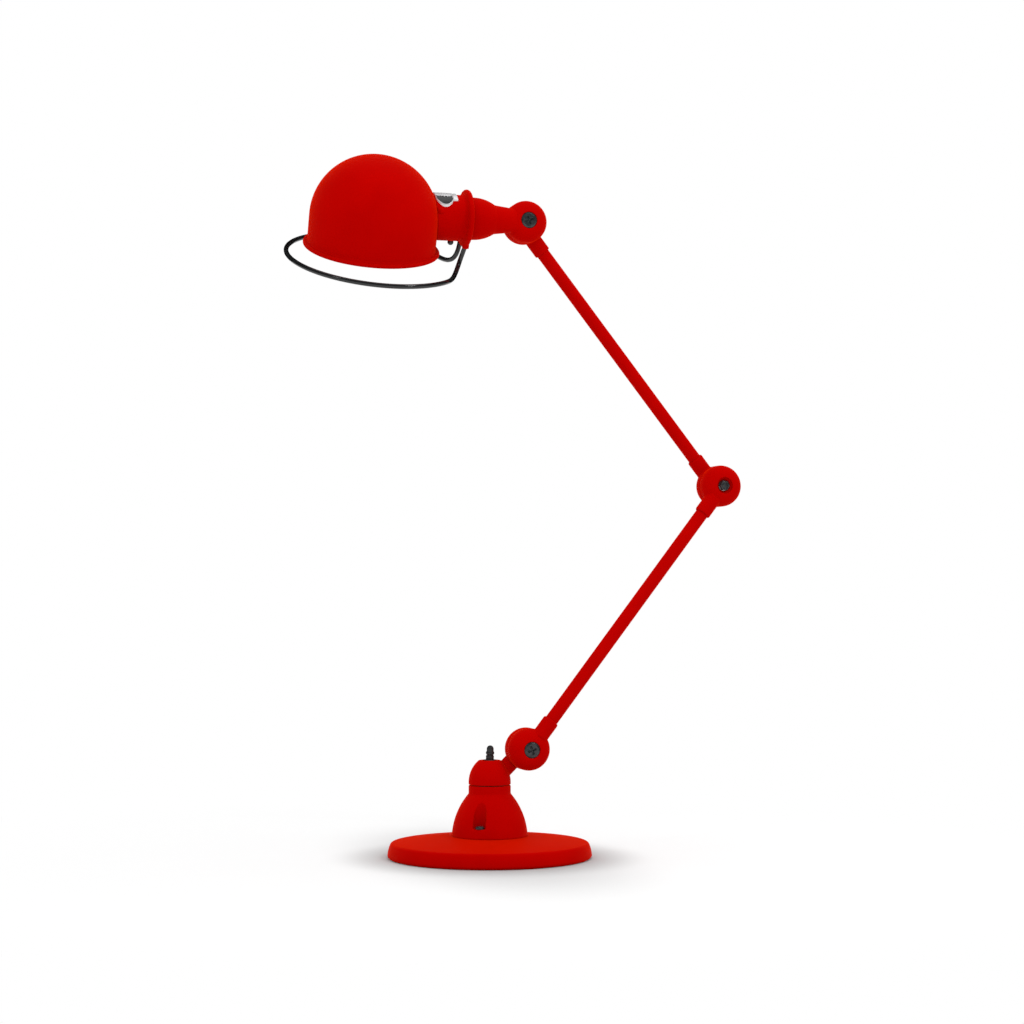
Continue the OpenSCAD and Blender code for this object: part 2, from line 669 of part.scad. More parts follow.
module sweep(p, r, sides = 12) {
    t = tangents(p);
    n = sweep_normals(t, [unit(cross(t[0], [0, 1, 0]))]);
    points = [for (i = [0:len(p) - 1]) for (j = [0:sides - 1]) let (a = 360 * j / sides)
        p[i] + r * (n[i] * cos(a) + cross(t[i], n[i]) * sin(a))];
    last = len(p) - 1;
    faces = concat(
        [[for (j = [0:sides - 1]) j]],
        [for (i = [0:last - 1]) for (j = [0:sides - 1])
            let (k = (j + 1) % sides)
            [i * sides + k, i * sides + j, (i + 1) * sides + j, (i + 1) * sides + k]],
        [[for (j = [sides - 1:-1:0]) last * sides + j]]);
    polyhedron(points, faces, convexity = 6);
}
module guard_ring() color(black) dome_frame() sweep(guard_path, wire_d / 2);

// ---------- lamp ----------

module lampholder() color("#20201f") head_frame() rotate([0, 90, 0]) difference() {
    union() {
        translate([0, 0, holder_start]) cylinder(r = holder_r, h = holder_end - holder_start);
        translate([0, 0, holder_ring_x]) cylinder(r = holder_r + 3, h = 2);
    }
    translate([0, 0, holder_start + 6]) cylinder(r = bulb_neck_r, h = 40, $fn = small_fn);
}
module bulb_cap() color(brass_colour) head_frame() rotate([0, 90, 0]) {
    translate([0, 0, bulb_cap_start]) cylinder(r = bulb_neck_r - 0.3, h = bulb_start - bulb_cap_start, $fn = small_fn);
    translate([0, 0, bulb_cap_start - 3]) cylinder(r1 = 3, r2 = 6, h = 3 + eps, $fn = small_fn);
}
// hollow, and open towards the cap
module bulb_glass() color("white") head_frame() rotate([0, 90, 0]) rotate_extrude() polygon(concat(
    [[bulb_neck_r - bulb_wall, bulb_start], [bulb_neck_r, bulb_start], [bulb_neck_r + 1.9, bulb_start + 8]],
    arc([0, bulb_x], bulb_r, -52, 90, 20),
    arc([0, bulb_x], bulb_r - bulb_wall, 90, -52, 20),
    [[bulb_neck_r + 1.9 - bulb_wall, bulb_start + 8.3]]));

base_pad();
base_weight();
base_cover();
bell();
bell_screws();
cord_grommet();
spindle();
spindle_nuts();
swivel_washer();
swivel_cap();
stub_tube();
switch_body();
switch_nut();
switch_bat();
switch_boot();
shoulder_back();
shoulder_front();
shoulder_bolt();
shoulder_nut();
shoulder_springs();
shoulder_friction_disc();
shoulder_back_insulator();
shoulder_front_insulator();
shoulder_contact_rings();
shoulder_contact_pins();
lower_arm_tube();
lower_arm_wires();
elbow_back();
elbow_front();
elbow_bolt();
elbow_nut();
elbow_springs();
elbow_friction_disc();
elbow_back_insulator();
elbow_front_insulator();
elbow_contact_rings();
elbow_contact_pins();
upper_arm_tube();
upper_arm_wires();
wrist_back();
head_carrier();
wrist_bolt();
wrist_nut();
wrist_springs();
wrist_friction_disc();
wrist_back_insulator();
wrist_front_insulator();
wrist_contact_rings();
wrist_contact_pins();
head_spindle();
head_spindle_nut();
neck();
neck_screw();
neck_rivets();
nameplate();
guard_ring();
shade();
lampholder();
bulb_glass();
bulb_cap();
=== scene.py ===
"""Looks of a red jointed desk lamp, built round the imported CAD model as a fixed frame.

Row frame in metres: +Z up, -Y the front, the shade points to -X. Outlines below are in millimetres.
"""

import json
import math

import bmesh
import bpy
from mathutils import Matrix, Vector


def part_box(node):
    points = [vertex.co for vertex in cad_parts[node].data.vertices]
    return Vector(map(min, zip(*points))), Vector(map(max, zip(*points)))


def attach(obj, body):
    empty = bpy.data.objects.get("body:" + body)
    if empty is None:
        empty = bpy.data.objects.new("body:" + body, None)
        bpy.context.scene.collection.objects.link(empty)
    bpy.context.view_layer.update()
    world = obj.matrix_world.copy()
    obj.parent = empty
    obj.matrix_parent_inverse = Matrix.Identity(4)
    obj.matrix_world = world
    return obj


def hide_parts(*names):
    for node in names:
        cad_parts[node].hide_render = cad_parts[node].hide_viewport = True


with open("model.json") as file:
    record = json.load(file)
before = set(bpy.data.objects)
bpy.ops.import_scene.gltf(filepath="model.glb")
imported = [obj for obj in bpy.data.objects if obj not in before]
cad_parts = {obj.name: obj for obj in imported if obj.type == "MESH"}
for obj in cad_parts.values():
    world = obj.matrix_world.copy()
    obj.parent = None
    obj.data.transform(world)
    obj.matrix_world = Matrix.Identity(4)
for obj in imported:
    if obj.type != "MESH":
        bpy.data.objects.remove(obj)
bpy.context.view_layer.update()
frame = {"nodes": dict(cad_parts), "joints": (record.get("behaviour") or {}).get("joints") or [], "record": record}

MM = 0.001
NODES = frame["nodes"]
PIVOTS = {j["name"]: Vector(j["pos_m"]) for j in frame["joints"]}
BODY_OF = {n: b for b, members in frame["record"]["behaviour"]["bodies"].items() for n in members}
SLOT_OF = {s["node"]: s["material_slot"] for s in frame["record"]["subparts"]}

# ---------- places, from the frame ----------

HEAD_ROLL = math.radians(25.5)     # the shade's top leans to the front by this much at rest
LEVER_LEAN = math.radians(8)       # and the switch lever by this much
ARM_OFFSET = PIVOTS["wrist"].y - PIVOTS["head_roll"].y
SHADE_LOW, SHADE_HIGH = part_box("shade")
HEAD_REACH = PIVOTS["head_roll"].x - (SHADE_LOW.x + SHADE_HIGH.x) / 2


def columns(x, y, z, origin):
    """The matrix that takes local axes to x, y and z, and the local origin to origin."""
    m = Matrix((x, y, z)).transposed().to_4x4()
    m.translation = origin
    return m


# local X runs from the wrist to the shade, and local Z up through the dome
HEAD = Matrix.Translation(PIVOTS["head_roll"])
HEAD = HEAD @ Matrix.Rotation(HEAD_ROLL, 4, "X") @ Matrix.Rotation(math.pi, 4, "Z")
HEAD_ALONG = HEAD @ Matrix.Rotation(math.pi / 2, 4, "Y")


def arm_frame(first, second, side):
    """Local Z runs along an arm, from its first pivot to its second. Side is 1 in front and -1 behind."""
    along = (PIVOTS[second] - PIVOTS[first]).normalized()
    across = Vector((0, 1, 0))
    return columns(across.cross(along), across, along, PIVOTS[first] - side * ARM_OFFSET * across)


# ---------- mesh helpers ----------

def arc(centre, radius, start, end, steps):
    """Points on an arc, with the angles in degrees."""
    angles = [math.radians(start + (end - start) * i / steps) for i in range(steps + 1)]
    return [(centre[0] + radius * math.cos(a), centre[1] + radius * math.sin(a)) for a in angles]


def rounded(points, steps=5):
    """A closed outline in which a point with a third number has its corner rounded to that radius."""
    out = []
    for i, point in enumerate(points):
        here = Vector(point[:2])
        if len(point) < 3:
            out.append(tuple(here))
            continue
        before = Vector(points[i - 1][:2]) - here
        after = Vector(points[(i + 1) % len(points)][:2]) - here
        half = before.angle(after) / 2
        cut = min(point[2] / math.tan(half), 0.49 * before.length, 0.49 * after.length)
        start = here + before.normalized() * cut
        centre = here + (before.normalized() + after.normalized()).normalized() * (cut / math.cos(half))
        first = math.atan2(start.y - centre.y, start.x - centre.x)
        last = here + after.normalized() * cut
        turn = math.atan2(last.y - centre.y, last.x - centre.x) - first
        turn = (turn + math.pi) % (2 * math.pi) - math.pi
        radius = (start - centre).length
        for k in range(steps + 1):
            a = first + turn * k / steps
            out.append((centre.x + radius * math.cos(a), centre.y + radius * math.sin(a)))
    return out


def mesh_of(bm, name, sharp=35):
    """A mesh from bm, smooth but for edges that turn by more than sharp degrees."""
    bmesh.ops.remove_doubles(bm, verts=bm.verts, dist=1e-7)
    bmesh.ops.dissolve_degenerate(bm, edges=bm.edges, dist=1e-8)
    bmesh.ops.recalc_face_normals(bm, faces=bm.faces)
    for face in bm.faces:
        face.smooth = True
    for edge in bm.edges:
        edge.smooth = edge.calc_face_angle(0) < math.radians(sharp)
    mesh = bpy.data.meshes.new(name)
    bm.to_mesh(mesh)
    bm.free()
    return mesh


def new_piece(name, mesh, node, material):
    """A piece that stands for a CAD node, and rides where that node rides."""
    piece = bpy.data.objects.new(name, mesh)
    bpy.context.scene.collection.objects.link(piece)
    piece.data.materials.clear()
    piece.data.materials.append(material)
    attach(piece, BODY_OF[node])
    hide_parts(node)
    return piece


def revolve(bm, outline, place, segments):
    """Adds a closed outline of (radius, height) points in millimetres, turned about local Z of place."""
    rings = []
    for r, z in outline:
        ring = []
        for k in range(segments):
            a = 2 * math.pi * k / segments
            ring.append(bm.verts.new(place @ Vector((r * math.cos(a), r * math.sin(a), z))))
        rings.append(ring)
    count = len(rings)
    for i in range(count):
        this, following = rings[i], rings[(i + 1) % count]
        if outline[i][0] < 1e-6 and outline[(i + 1) % count][0] < 1e-6:
            continue
        for k in range(segments):
            j = (k + 1) % segments
            bm.faces.new((this[k], this[j], following[j], following[k]))


def in_mm(place):
    """place, taking millimetres."""
    return place @ Matrix.Scale(MM, 4)


def lathe(name, outline, place, node, material, segments):
    """A turned piece, from a closed outline of (radius, height) points in millimetres."""
    bm = bmesh.new()
    revolve(bm, outline, in_mm(place), segments)
    new_piece(name, mesh_of(bm, name), node, material)


def casting(node, material, voxel, passes):
    """The node's shape as a casting: corners run round, inner corners filled. voxel is in millimetres."""
    bm = bmesh.new()
    bm.from_mesh(NODES[node].data)
    bmesh.ops.remove_doubles(bm, verts=bm.verts, dist=1e-6)
    mesh = bpy.data.meshes.new(node + "_solid")
    bm.to_mesh(mesh)
    bm.free()
    solid = bpy.data.objects.new(node + "_solid", mesh)
    bpy.context.scene.collection.objects.link(solid)
    remesh = solid.modifiers.new("voxels", "REMESH")
    remesh.mode = "VOXEL"
    remesh.voxel_size = voxel * MM
    remesh.use_smooth_shade = True
    smooth = solid.modifiers.new("smooth", "SMOOTH")
    smooth.factor = 0.5
    smooth.iterations = passes
    bpy.context.view_layer.update()
    graph = bpy.context.evaluated_depsgraph_get()
    cast = bpy.data.meshes.new_from_object(solid.evaluated_get(graph))
    bpy.data.objects.remove(solid)
    for polygon in cast.polygons:
        polygon.use_smooth = True
    new_piece(node + "_casting", cast, node, material)


# ---------- materials ----------

def noise_node(tree, coords, scale, detail, stretch):
    """Noise in object coordinates, its scale per metre, squeezed by stretch along each axis."""
    mapping = tree.nodes.new("ShaderNodeMapping")
    mapping.inputs["Scale"].default_value = stretch
    noise = tree.nodes.new("ShaderNodeTexNoise")
    noise.inputs["Scale"].default_value = scale
    noise.inputs["Detail"].default_value = detail
    tree.links.new(coords.outputs["Object"], mapping.inputs["Vector"])
    tree.links.new(mapping.outputs["Vector"], noise.inputs["Vector"])
    return noise


def finish_of(name, low, high, patch, rough, grain, depth, stretch=(1, 1, 1), **sockets):
    """A material whose colour drifts from low to high in patches, with a roughness range and a surface grain.

    patch and grain are noise scales per metre, depth is the grain's height in metres, and sockets holds
    constants for the shader's other sockets.
    """
    material = bpy.data.materials.new(name)
    material.use_nodes = True
    tree = material.node_tree
    shader = tree.nodes["Principled BSDF"]
    coords = tree.nodes.new("ShaderNodeTexCoord")

    drift = noise_node(tree, coords, patch, 4.0, stretch)
    ramp = tree.nodes.new("ShaderNodeValToRGB")
    ramp.color_ramp.elements[0].position = 0.35
    ramp.color_ramp.elements[0].color = (*low, 1)
    ramp.color_ramp.elements[1].position = 0.65
    ramp.color_ramp.elements[1].color = (*high, 1)
    tree.links.new(drift.outputs["Fac"], ramp.inputs["Fac"])
    tree.links.new(ramp.outputs["Color"], shader.inputs["Base Color"])

    fine = noise_node(tree, coords, grain, 2.0, stretch)
    spread = tree.nodes.new("ShaderNodeMapRange")
    spread.inputs["From Min"].default_value = 0.3
    spread.inputs["From Max"].default_value = 0.7
    spread.inputs["To Min"].default_value = rough[0]
    spread.inputs["To Max"].default_value = rough[1]
    tree.links.new(fine.outputs["Fac"], spread.inputs["Value"])
    tree.links.new(spread.outputs["Result"], shader.inputs["Roughness"])

    bump = tree.nodes.new("ShaderNodeBump")
    bump.inputs["Strength"].default_value = 1.0
    bump.inputs["Distance"].default_value = depth
    tree.links.new(fine.outputs["Fac"], bump.inputs["Height"])
    tree.links.new(bump.outputs["Normal"], shader.inputs["Normal"])

    for socket, value in sockets.items():
        shader.inputs[socket.replace("_", " ")].default_value = value
    return material


RED = finish_of("red_powder_coat", (0.42, 0.0002, 0.0), (0.45, 0.0004, 0.0), 30, (0.42, 0.52), 2600,
                0.000002, Specular_IOR_Level=0.002, Sheen_Weight=0.75, Sheen_Roughness=0.35,
                Sheen_Tint=(1.0, 0.03, 0.0, 1.0))
WHITE = finish_of("white_enamel", (0.80, 0.79, 0.76), (0.86, 0.85, 0.83), 25, (0.28, 0.4), 1500, 0.00001)
BLACK_STEEL = finish_of("blackened_steel", (0.012, 0.013, 0.014), (0.035, 0.036, 0.038), 260, (0.22, 0.4),
                        2200, 0.00002)
BLACK_WIRE = finish_of("black_lacquer", (0.008, 0.0085, 0.009), (0.014, 0.0145, 0.015), 90, (0.10, 0.16),
                       1400, 0.000002)
BLACK_PLASTIC = finish_of("black_plastic", (0.012, 0.013, 0.013), (0.024, 0.025, 0.026), 120, (0.42, 0.6),
                          2400, 0.00003)
RUBBER = finish_of("black_rubber", (0.012, 0.012, 0.012), (0.03, 0.03, 0.03), 80, (0.7, 0.9), 1500, 0.00005)
ZINC = finish_of("zinc_plated_steel", (0.46, 0.47, 0.48), (0.62, 0.63, 0.65), 120, (0.25, 0.42), 900, 0.00001,
                 stretch=(1, 1, 14), Metallic=1.0)
BRASS = finish_of("brass", (0.62, 0.43, 0.17), (0.78, 0.58, 0.27), 120, (0.22, 0.4), 900, 0.00001,
                  Metallic=1.0)
FIBRE = finish_of("phenolic_fibre", (0.11, 0.05, 0.025), (0.2, 0.11, 0.06), 400, (0.5, 0.7), 1500, 0.00004,
                  stretch=(1, 8, 1))
IRON = finish_of("cast_iron", (0.09, 0.09, 0.092), (0.17, 0.17, 0.175), 90, (0.55, 0.8), 900, 0.0002)
SLEEVE = finish_of("wire_sleeve", (0.7, 0.7, 0.67), (0.8, 0.8, 0.77), 60, (0.4, 0.55), 900, 0.00001)
PLATE = finish_of("brushed_aluminium", (0.62, 0.63, 0.64), (0.78, 0.79, 0.80), 300, (0.2, 0.36), 1800,
                  0.000008, stretch=(1, 18, 18), Metallic=0.3)
PLATE_FIELD = finish_of("dark_plate_enamel", (0.012, 0.013, 0.014), (0.03, 0.032, 0.034), 220, (0.25, 0.45),
                        1600, 0.000008, stretch=(1, 10, 10))
OPAL = finish_of("opal_glass", (0.86, 0.85, 0.82), (0.92, 0.91, 0.88), 40, (0.18, 0.26), 500, 0.00001,
                 Transmission_Weight=0.35, IOR=1.5)

FINISHES = {
    "red_paint": RED,
    "cast_iron": IRON,
    "rubber": RUBBER,
    "black_steel": BLACK_STEEL,
    "black_wire": BLACK_WIRE,
    "zinc_steel": ZINC,
    "black_plastic": BLACK_PLASTIC,
    "brass": BRASS,
    "fibre": FIBRE,
    "wire_sleeve": SLEEVE,
    "plate_metal": PLATE,
    "bulb_glass": OPAL,
}
for node_name, node_object in NODES.items():
    node_object.data.materials.clear()
    node_object.data.materials.append(FINISHES[SLOT_OF[node_name]])


# ---------- base ----------

def base_cover():
    """The pressed disc: a bowed side, a tight corner at its top, and a nearly flat top up to the bell."""
    low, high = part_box("base_cover")
    rim_r = high.x / MM
    top = high.z / MM
    foot = low.z / MM
    wall = 1.6
    seat_r, hole_r = 36, 6
    side_r, corner_r, foot_r = 31, 3, 2.3
    corner_at = math.radians(22.5)
    side_x = rim_r - side_r
    corner_reach = side_r - corner_r
    corner = (side_x + corner_reach * math.cos(corner_at), corner_reach * math.sin(corner_at))
    outer = arc((side_x, 0), side_r, 4.5, 21.5, 10) + arc(corner, corner_r, 28, 84, 10)
    outline = [(rim_r - 3.4, foot), (rim_r - 1.6, foot)]
    outline += arc((rim_r - 2.5, foot + foot_r), foot_r, -70, 0, 6) + outer
    outline += [(seat_r, top), (hole_r, top), (hole_r, top - wall), (seat_r, top - wall)]
    outline += [(outer[-1][0] - 1, outer[-1][1] - wall), (rim_r - 5.4, 12), (rim_r - 3.6, 4)]
    lathe("base_cover_pressing", outline, Matrix(), "base_cover", RED, 256)


def base_pad():
    """The rubber sheet under the foot, with round grooves on its underside."""
    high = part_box("base_pad")[1] / MM
    count, first_r, pitch = 8, 12, 9.2
    grooves = []
    for k in range(count):
        r = first_r + pitch * k
        grooves += [(r, 0), (r + 0.6, 0.5), (r + 2.4, 0.5), (r + 3, 0)]
    outline = [(0, 0), *grooves, (high.x, 0, 0.3), (high.x, high.z, 0.4), (0, high.z)]
    lathe("base_pad_rubber", rounded(outline, 3), Matrix(), "base_pad", RUBBER, 128)


base_cover()
base_pad()
casting("bell", RED, 0.5, 6)
casting("bell_screws", BLACK_STEEL, 0.22, 2)
casting("cord_grommet", RUBBER, 0.25, 3)


# ---------- cap and switch ----------

def switch_boot():
    """The black sleeve on the lever: a sleeve, a groove, a bulge, and a slimmer grip with a round end."""
    place = Matrix.Translation(PIVOTS["switch_toggle"]) @ Matrix.Rotation(LEVER_LEAN, 4, "X")
    sleeve_r, grip_r, grip_end = 3.6, 3.1, 14.3
    line_r = sleeve_r - 0.2
    outline = [(0, 4), (3.2, 4, 0.3), (sleeve_r, 4.9, 0.4), (sleeve_r, 5.9, 0.15), (line_r, 6.05)]
    outline += [(line_r, 6.35), (sleeve_r, 6.5, 0.15), (sleeve_r, 7.9, 0.4), (grip_r, 8.35, 0.4)]
    outline += [(grip_r, 8.95, 0.5)]
    bulge = arc((2, 10.7), 1.8, -50, 50, 12)
    outline = rounded(outline, 3) + bulge + arc((0, grip_end), grip_r, 0, 90, 14)
    lathe("switch_boot_sleeve", outline, place, "switch_boot", BLACK_PLASTIC, 64)


def switch_nut():
    """The dished ring nut round the lever."""
    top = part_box("switch_nut")[1].z / MM
    outer_r, bore_r, height = 5.8, 3, 1.7
    outline = [(bore_r, top - height), (outer_r, top - height), (outer_r, top - 0.3, 0.3), (5.0, top, 0.25)]
    outline += [(4.2, top - 0.8, 0.3), (bore_r, top - 1.1, 0.2)]
    lathe("switch_nut_ring", rounded(outline), Matrix(), "switch_nut", BLACK_STEEL, 72)


casting("swivel_cap", RED, 0.45, 5)
switch_boot()
switch_nut()

# ---------- joints ----------

for half in ("shoulder_back", "shoulder_front", "elbow_back", "elbow_front", "wrist_back", "head_carrier"):
    casting(half, RED, 0.5, 5)
for name in ("shoulder", "elbow", "wrist"):
    casting(name + "_bolt", BLACK_STEEL, 0.25, 2)
    casting(name + "_nut", BLACK_STEEL, 0.25, 2)


# ---------- head ----------

SHADE_R = 57.0
SHADE_SKIRT = 25.4                 # the straight part, from the dome's middle down to the rim
SHADE_WALL = 1.2
BEAD_R = 1.7
BEAD_RING = SHADE_R + 2            # from the dome's axis to the middle of the bead
DOME_DROP = 4.5                    # from the neck's axis down to the dome's middle
NECK_R = 20.4
DOME = HEAD @ Matrix.Translation(Vector((HEAD_REACH, 0, -DOME_DROP * MM)))


def shade():
    """A spun shade, its rim rolled outwards into a bead, and its white lining."""
    segments, steps = 224, 40
    rim = -SHADE_SKIRT
    split = SHADE_R - 0.5 * SHADE_WALL
    outer = arc((0, 0), SHADE_R, 90, 0, steps) + [(SHADE_R, rim + 4), (SHADE_R + 0.1, rim + 2.2)]
    roll = arc((BEAD_RING, rim), BEAD_R, 128, -200, 22)
    bm = bmesh.new()
    revolve(bm, outer + roll + [(split, rim - 0.2)] + arc((0, 0), split, 0, 90, steps), in_mm(DOME), segments)
    new_piece("shade_spinning", mesh_of(bm, "shade_spinning", 60), "shade", RED)

    inner_r = SHADE_R - SHADE_WALL
    back_r = split - 0.02
    lining = arc((0, 0), back_r, 90, 0, steps) + [(back_r, rim), (inner_r, rim)]
    bm = bmesh.new()
    revolve(bm, lining + arc((0, 0), inner_r, 0, 90, steps), in_mm(DOME), segments)
    white = bpy.data.objects.new("shade_lining", mesh_of(bm, "shade_lining"))
    bpy.context.scene.collection.objects.link(white)
    white.data.materials.append(WHITE)
    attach(white, BODY_OF["shade"])


shade()
casting("neck", RED, 0.45, 4)


def neck_screw():
    """A round-headed screw that enters the neck from below."""
    along, shank_r, head_r = 68.5, 1.85, 2.7
    place = HEAD @ Matrix.Translation(Vector((along, 0, -NECK_R)) * MM) @ Matrix.Rotation(math.pi, 4, "X")
    outline = rounded([(0, -4.3), (shank_r, -4.3, 0.2), (shank_r, 0.6, 0.1), (2.2, 0.6)])
    outline += arc((0, 1.9), head_r, -28, 90, 16)
    lathe("neck_screw_knob", outline, place, "neck_screw", BLACK_STEEL, 48)


def neck_rivets():
    """A domed rivet on each side of the neck, near the shade."""
    along, angle = 84.3, math.radians(58)
    head = [(0, -0.8), (2.1, -0.8), (2.1, 0.15), (2.7, 0.15), (2.9, 0.45)] + arc((0, -1.0), 3.1, 32, 90, 12)
    bm = bmesh.new()
    for side in (-1, 1):
        turn = Matrix.Rotation(angle * side, 4, "X")
        place = HEAD @ turn @ Matrix.Translation(Vector((along, 0, NECK_R)) * MM)
        revolve(bm, head, in_mm(place), 48)
    new_piece("neck_rivet_heads", mesh_of(bm, "neck_rivet_heads"), "neck_rivets", RED)


neck_screw()
neck_rivets()


def nameplate():
    """A plain plate bent over the top of the neck: a tab, a raised rim and a dark field on each side."""
    middle, radius, reach = 79.6, 8.2, 6.8      # the rounded part: a slot shape across the neck
    tab_start, tab_reach = 67.8, 9.6
    rim, field_start, crescent_dip = 0.8, 5.2, 2.2
    edge, rise_over, raised, sunk = 0.9, 0.35, 0.4, 0.6
    rows, steps = 120, 44
    place = in_mm(HEAD)
    bm = bmesh.new()

    def depth_in(x, y):
        """How far inside the rounded part's edge a point lies."""
        return radius - math.hypot(x - middle, max(abs(y) - reach, 0))

    def in_field(x, y):
        """Whether a point lies in a sunk field, between the rim and the crescent over the ridge."""
        crescent = field_start - ((x - middle) / radius) ** 2 * crescent_dip
        return depth_in(x, y) > rim and abs(y) > crescent

    def height(x, y):
        """How far the plate's top stands off the neck."""
        rise = min(max(depth_in(x, y) / rise_over, 0), 1)
        return edge + raised * rise - sunk * in_field(x, y)

    layers = {"top": [], "under": []}
    for j in range(rows + 1):
        y = (reach + radius) * math.sin(math.pi * (j / rows - 0.5))
        half = math.sqrt(max(radius ** 2 - max(abs(y) - reach, 0) ** 2, 0))
        low = tab_start if abs(y) <= tab_reach else middle - half
        top, under = [], []
        for i in range(steps + 1):
            x = low + (middle + half - low) * i / steps
            for layer, r in ((top, NECK_R + height(x, y)), (under, NECK_R - 0.05)):
                layer.append(bm.verts.new(place @ Vector((x, y, math.sqrt(r * r - y * y)))))
        layers["top"].append(top)
        layers["under"].append(under)
    for j in range(rows):
        for i in range(steps):
            for name in layers:
                a, b = layers[name][j], layers[name][j + 1]
                bm.faces.new((a[i], a[i + 1], b[i + 1], b[i]))
        for i in (0, steps):
            a, b = layers["top"], layers["under"]
            bm.faces.new((a[j][i], a[j + 1][i], b[j + 1][i], b[j][i]))
    plate = new_piece("nameplate_blank", mesh_of(bm, "nameplate_blank", 50), "nameplate", PLATE)
    plate.data.materials.append(PLATE_FIELD)
    back = place.inverted()
    for polygon in plate.data.polygons:
        p = back @ polygon.center
        on_top = math.hypot(p.y, p.z) > NECK_R + 0.3
        polygon.material_index = int(on_top and in_field(p.x, p.y))


def bezier(points, t):
    """The point at t on a cubic curve through the first and last of four points."""
    a, b, c, d = (Vector(p) for p in points)
    return a * (1 - t) ** 3 + 3 * b * t * (1 - t) ** 2 + 3 * c * t * t * (1 - t) + d * t ** 3


def guard_route():
    """The guard's centreline in the dome's frame: a tilted ring, open towards the neck, and two legs.

    The legs rise to the bosses under the neck's flange.
    """
    ring_r, shift, drop, tilt, opening = 78, 3.3, 11.2, math.radians(-1.5), 50
    leg_x, leg_y, leg_end = 57, 10.8, 21
    leg_steps, ring_steps = 28, 120

    def on_ring(degrees):
        a = math.radians(degrees)
        return Vector((ring_r * math.cos(a) * math.cos(tilt) - shift, ring_r * math.sin(a),
                       -SHADE_SKIRT - drop - ring_r * math.cos(a) * math.sin(tilt)))

    def leg(side):
        a = 180 - opening * side
        along = (on_ring(a + side) - on_ring(a)).normalized()
        end = Vector((leg_x - HEAD_REACH / MM, leg_y * side, DOME_DROP - leg_end))
        return on_ring(a), on_ring(a) + along * 20, end + Vector((4.7, -15 * side, -36)), end

    route = [bezier(leg(-1), 1 - i / leg_steps) for i in range(leg_steps)]
    route += [on_ring(opening - 180 + (360 - 2 * opening) * i / ring_steps) for i in range(ring_steps + 1)]
    return route + [bezier(leg(1), i / leg_steps) for i in range(1, leg_steps + 1)]


def guard_ring():
    """The wire swept along the guard's centreline."""
    route = guard_route()
    sides, radius = 20, 2.1
    turns = [2 * math.pi * k / sides for k in range(sides)]
    bm = bmesh.new()
    place = in_mm(DOME)
    normal = Vector((0, 0, 1))
    rings = []
    for i, p in enumerate(route):
        along = (route[min(i + 1, len(route) - 1)] - route[max(i - 1, 0)]).normalized()
        normal = (normal - along * normal.dot(along)).normalized()
        across = along.cross(normal)
        ring = [p + radius * (normal * math.cos(a) + across * math.sin(a)) for a in turns]
        rings.append([bm.verts.new(place @ q) for q in ring])
    for a, b in zip(rings, rings[1:]):
        for k in range(sides):
            j = (k + 1) % sides
            bm.faces.new((a[k], a[j], b[j], b[k]))
    bm.faces.new(rings[0])
    bm.faces.new(rings[-1])
    new_piece("guard_ring_wire", mesh_of(bm, "guard_ring_wire"), "guard_ring", BLACK_WIRE)


def lampholder():
    """The holder in the neck, with grip ribs and a collar, its heights along the neck's axis."""
    start, end = 64, 94
    shell_r, groove_r, collar_r, socket_r = 13, 12.5, 16, 8.6
    collar_low, collar_high = 88.3, 90.3
    ribs = []
    for k in range(5):
        z = start + 2 + 3.4 * k
        ribs += [(shell_r, z, 0.3), (groove_r, z + 0.4, 0.2), (groove_r, z + 1.0, 0.2)]
        ribs += [(shell_r, z + 1.4, 0.3)]
    outline = [(0, start), (shell_r, start, 0.8), *ribs]
    outline += [(shell_r, collar_low), (collar_r, collar_low, 0.4), (collar_r, collar_high, 0.4)]
    outline += [(shell_r, collar_high), (shell_r, end, 0.8), (socket_r, end, 0.5), (socket_r, 70), (0, 70)]
    lathe("lampholder_shell", rounded(outline, 3), HEAD_ALONG, "lampholder", BLACK_PLASTIC, 96)


def bulb():
    """A globe bulb and its screw cap, in heights along the neck's axis."""
    start, centre, radius, wall = 96, 128, 22.5, 1
    outer = [(8.6, start), (8.9, start + 3), (10.5, start + 8)] + arc((0, centre), radius, -52, 90, 36)
    inner = arc((0, centre), radius - wall, 90, -52, 36)
    inner += [(9.5, start + 8.3), (7.9, start + 3), (7.6, start)]
    lathe("bulb_globe", outer + inner, HEAD_ALONG, "bulb_glass", OPAL, 128)
    cap_r, root_r = 8.3, 7.8
    thread = []
    for k in range(6):
        z = 78 + 2.8 * k
        thread += [(root_r, z), (8.1, z + 0.5), (cap_r, z + 1.1), (8.1, z + 1.7), (root_r, z + 2.2)]
    outline = [(0, 73), (3, 73, 0.3), (6, 76), (root_r, 76.4)] + thread
    outline += [(cap_r, start - 1), (cap_r, start), (0, start)]
    lathe("bulb_screw_cap", rounded(outline), HEAD_ALONG, "bulb_cap", BRASS, 72)


def arm_tube(node, first, second, side):
    """A drawn tube between two joints."""
    outer, wall, start = 5.9, 1.2, 18
    end = (PIVOTS[second] - PIVOTS[first]).length / MM - start
    outline = [(outer - wall, start), (outer, start, 0.3), (outer, end, 0.3), (outer - wall, end)]
    lathe(node + "_drawn", rounded(outline), arm_frame(first, second, side), node, RED, 72)


nameplate()
guard_ring()
lampholder()
bulb()
arm_tube("lower_arm_tube", "shoulder", "elbow", 1)
arm_tube("upper_arm_tube", "elbow", "wrist", -1)
casting("stub_tube", RED, 0.4, 3)


# ---------- stage, light and camera ----------

